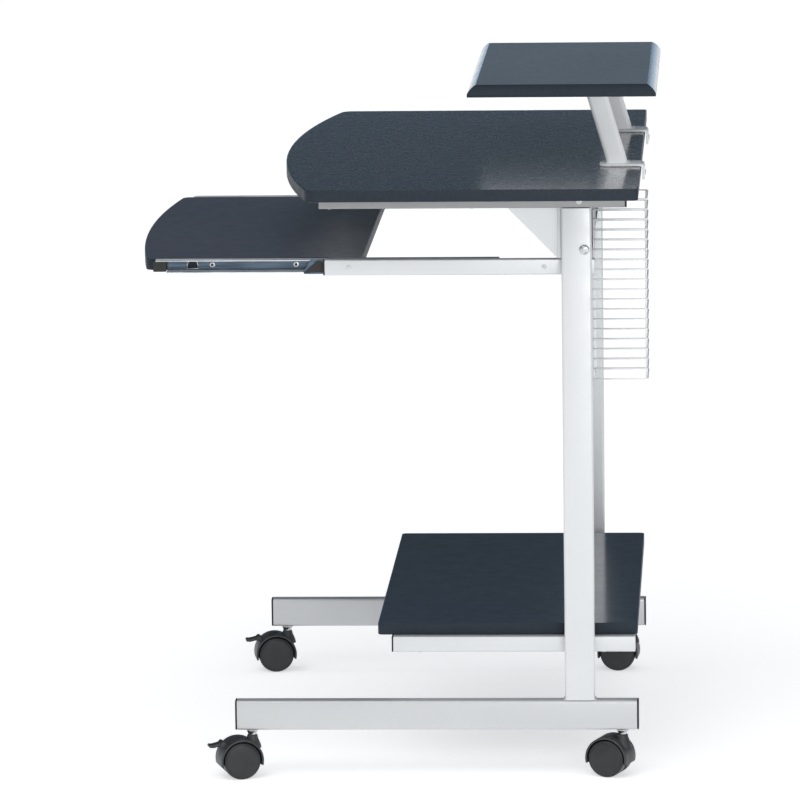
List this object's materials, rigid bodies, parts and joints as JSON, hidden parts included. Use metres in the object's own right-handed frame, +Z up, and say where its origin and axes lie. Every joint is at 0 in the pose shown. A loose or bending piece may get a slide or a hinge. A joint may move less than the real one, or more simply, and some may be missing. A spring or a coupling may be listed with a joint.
{
  "type": "computer desk",
  "caption": "Rolling computer desk with a bow-fronted top, raised monitor shelf, pull-out keyboard tray on roller slides, low shelf and wire disc rack.",
  "frame": {"origin": "on the floor under the middle of the desk's outline with the keyboard tray pulled out", "axes": "+Z up, +Y from the user towards the back of the desk, +X to the user's right"},
  "size_m": [0.78, 0.663, 0.873],
  "materials": {
    "laminate": "graphite melamine laminate on particle board, fine speckle, satin",
    "silver_paint": "satin silver-grey powder coat",
    "zinc": "zinc-plated rolled sheet",
    "bright_steel": "plated steel",
    "black_plastic": "black polyethylene",
    "nylon": "charcoal nylon, satin",
    "wire": "silver-grey coated wire"
  },
  "bodies": {
    "frame": {"desktop": "laminate", "monitor_shelf": "laminate", "lower_shelf": "laminate", "rear_panel": "laminate", "wire_rack": "wire", "foot_beam_right": "silver_paint", "foot_cap_right_front": "black_plastic", "foot_cap_right_rear": "black_plastic", "column_right": "silver_paint", "top_rail_right": "silver_paint", "top_rail_right_cap": "black_plastic", "shelf_rail_right": "silver_paint", "shelf_rail_right_cap": "black_plastic", "tray_rail_right": "silver_paint", "tray_rail_right_cap": "black_plastic", "panel_bolt_right": "bright_steel", "monitor_leg_right": "silver_paint", "fixed_slide_right": "zinc", "caster_stem_right_front": "bright_steel", "caster_stem_right_rear": "bright_steel", "foot_beam_left": "silver_paint", "foot_cap_left_front": "black_plastic", "foot_cap_left_rear": "black_plastic", "column_left": "silver_paint", "top_rail_left": "silver_paint", "top_rail_left_cap": "black_plastic", "shelf_rail_left": "silver_paint", "shelf_rail_left_cap": "black_plastic", "tray_rail_left": "silver_paint", "tray_rail_left_cap": "black_plastic", "panel_bolt_left": "bright_steel", "monitor_leg_left": "silver_paint", "fixed_slide_left": "zinc", "caster_stem_left_front": "bright_steel", "caster_stem_left_rear": "bright_steel"},
    "tray": {"keyboard_tray": "laminate", "moving_slide_right": "zinc", "moving_slide_left": "zinc"},
    "front_roller_right": {"front_roller_right": "black_plastic"},
    "rear_roller_right": {"rear_roller_right": "black_plastic"},
    "caster_right_front": {"caster_hood_right_front": "nylon", "caster_axle_right_front": "bright_steel"},
    "caster_wheel_right_front_right": {"caster_wheel_right_front_right": "nylon"},
    "caster_wheel_right_front_left": {"caster_wheel_right_front_left": "nylon"},
    "brake_lever_right_front": {"brake_lever_right_front": "nylon"},
    "caster_right_rear": {"caster_hood_right_rear": "nylon", "caster_axle_right_rear": "bright_steel"},
    "caster_wheel_right_rear_right": {"caster_wheel_right_rear_right": "nylon"},
    "caster_wheel_right_rear_left": {"caster_wheel_right_rear_left": "nylon"},
    "front_roller_left": {"front_roller_left": "black_plastic"},
    "rear_roller_left": {"rear_roller_left": "black_plastic"},
    "caster_left_front": {"caster_hood_left_front": "nylon", "caster_axle_left_front": "bright_steel"},
    "caster_wheel_left_front_right": {"caster_wheel_left_front_right": "nylon"},
    "caster_wheel_left_front_left": {"caster_wheel_left_front_left": "nylon"},
    "brake_lever_left_front": {"brake_lever_left_front": "nylon"},
    "caster_left_rear": {"caster_hood_left_rear": "nylon", "caster_axle_left_rear": "bright_steel"},
    "caster_wheel_left_rear_right": {"caster_wheel_left_rear_right": "nylon"},
    "caster_wheel_left_rear_left": {"caster_wheel_left_rear_left": "nylon"}
  },
  "joints": [
    {"name": "tray_slide", "type": "slide", "parent": "frame", "child": "tray", "axis": [0, 1, 0], "range_m": [0, 0.1825]},
    {"name": "front_roller_spin_right", "type": "hinge", "parent": "frame", "child": "front_roller_right", "pos_m": [0.2858, -0.097, 0.6525], "axis": [1, 0, 0], "continuous": true},
    {"name": "rear_roller_spin_right", "type": "hinge", "parent": "tray", "child": "rear_roller_right", "pos_m": [0.285, -0.057, 0.6525], "axis": [1, 0, 0], "continuous": true},
    {"name": "front_roller_spin_left", "type": "hinge", "parent": "frame", "child": "front_roller_left", "pos_m": [-0.2858, -0.097, 0.6525], "axis": [1, 0, 0], "continuous": true},
    {"name": "rear_roller_spin_left", "type": "hinge", "parent": "tray", "child": "rear_roller_left", "pos_m": [-0.285, -0.057, 0.6525], "axis": [1, 0, 0], "continuous": true},
    {"name": "caster_swivel_right_front", "type": "hinge", "parent": "frame", "child": "caster_right_front", "pos_m": [0.318, -0.1855, 0.058], "axis": [0, 0, 1], "continuous": true},
    {"name": "wheel_spin_right_front_right", "type": "hinge", "parent": "caster_right_front", "child": "caster_wheel_right_front_right", "pos_m": [0.32325, -0.20167, 0.024], "axis": [0.9511, 0.309, 0], "continuous": true},
    {"name": "wheel_spin_right_front_left", "type": "hinge", "parent": "caster_right_front", "child": "caster_wheel_right_front_left", "pos_m": [0.32325, -0.20167, 0.024], "axis": [0.9511, 0.309, 0], "continuous": true},
    {"name": "brake_right_front", "type": "hinge", "parent": "caster_right_front", "child": "brake_lever_right_front", "pos_m": [0.3302, -0.22305, 0.04549], "axis": [0.9511, 0.309, 0], "range_deg": [0, 20]},
    {"name": "caster_swivel_right_rear", "type": "hinge", "parent": "frame", "child": "caster_right_rear", "pos_m": [0.318, 0.2855, 0.058], "axis": [0, 0, 1], "continuous": true},
    {"name": "wheel_spin_right_rear_right", "type": "hinge", "parent": "caster_right_rear", "child": "caster_wheel_right_rear_right", "pos_m": [0.31219, 0.26953, 0.024], "axis": [0.9397, -0.342, 0], "continuous": true},
    {"name": "wheel_spin_right_rear_left", "type": "hinge", "parent": "caster_right_rear", "child": "caster_wheel_right_rear_left", "pos_m": [0.31219, 0.26953, 0.024], "axis": [0.9397, -0.342, 0], "continuous": true},
    {"name": "caster_swivel_left_front", "type": "hinge", "parent": "frame", "child": "caster_left_front", "pos_m": [-0.318, -0.1855, 0.058], "axis": [0, 0, 1], "continuous": true},
    {"name": "wheel_spin_left_front_right", "type": "hinge", "parent": "caster_left_front", "child": "caster_wheel_left_front_right", "pos_m": [-0.31505, -0.20224, 0.024], "axis": [0.9848, 0.1736, 0], "continuous": true},
    {"name": "wheel_spin_left_front_left", "type": "hinge", "parent": "caster_left_front", "child": "caster_wheel_left_front_left", "pos_m": [-0.31505, -0.20224, 0.024], "axis": [0.9848, 0.1736, 0], "continuous": true},
    {"name": "brake_left_front", "type": "hinge", "parent": "caster_left_front", "child": "brake_lever_left_front", "pos_m": [-0.31114, -0.22438, 0.04549], "axis": [0.9848, 0.1736, 0], "range_deg": [0, 20]},
    {"name": "caster_swivel_left_rear", "type": "hinge", "parent": "frame", "child": "caster_left_rear", "pos_m": [-0.318, 0.2855, 0.058], "axis": [0, 0, 1], "continuous": true},
    {"name": "wheel_spin_left_rear_right", "type": "hinge", "parent": "caster_left_rear", "child": "caster_wheel_left_rear_right", "pos_m": [-0.31948, 0.26856, 0.024], "axis": [0.9962, -0.0872, 0], "continuous": true},
    {"name": "wheel_spin_left_rear_left", "type": "hinge", "parent": "caster_left_rear", "child": "caster_wheel_left_rear_left", "pos_m": [-0.31948, 0.26856, 0.024], "axis": [0.9962, -0.0872, 0], "continuous": true}
  ]
}
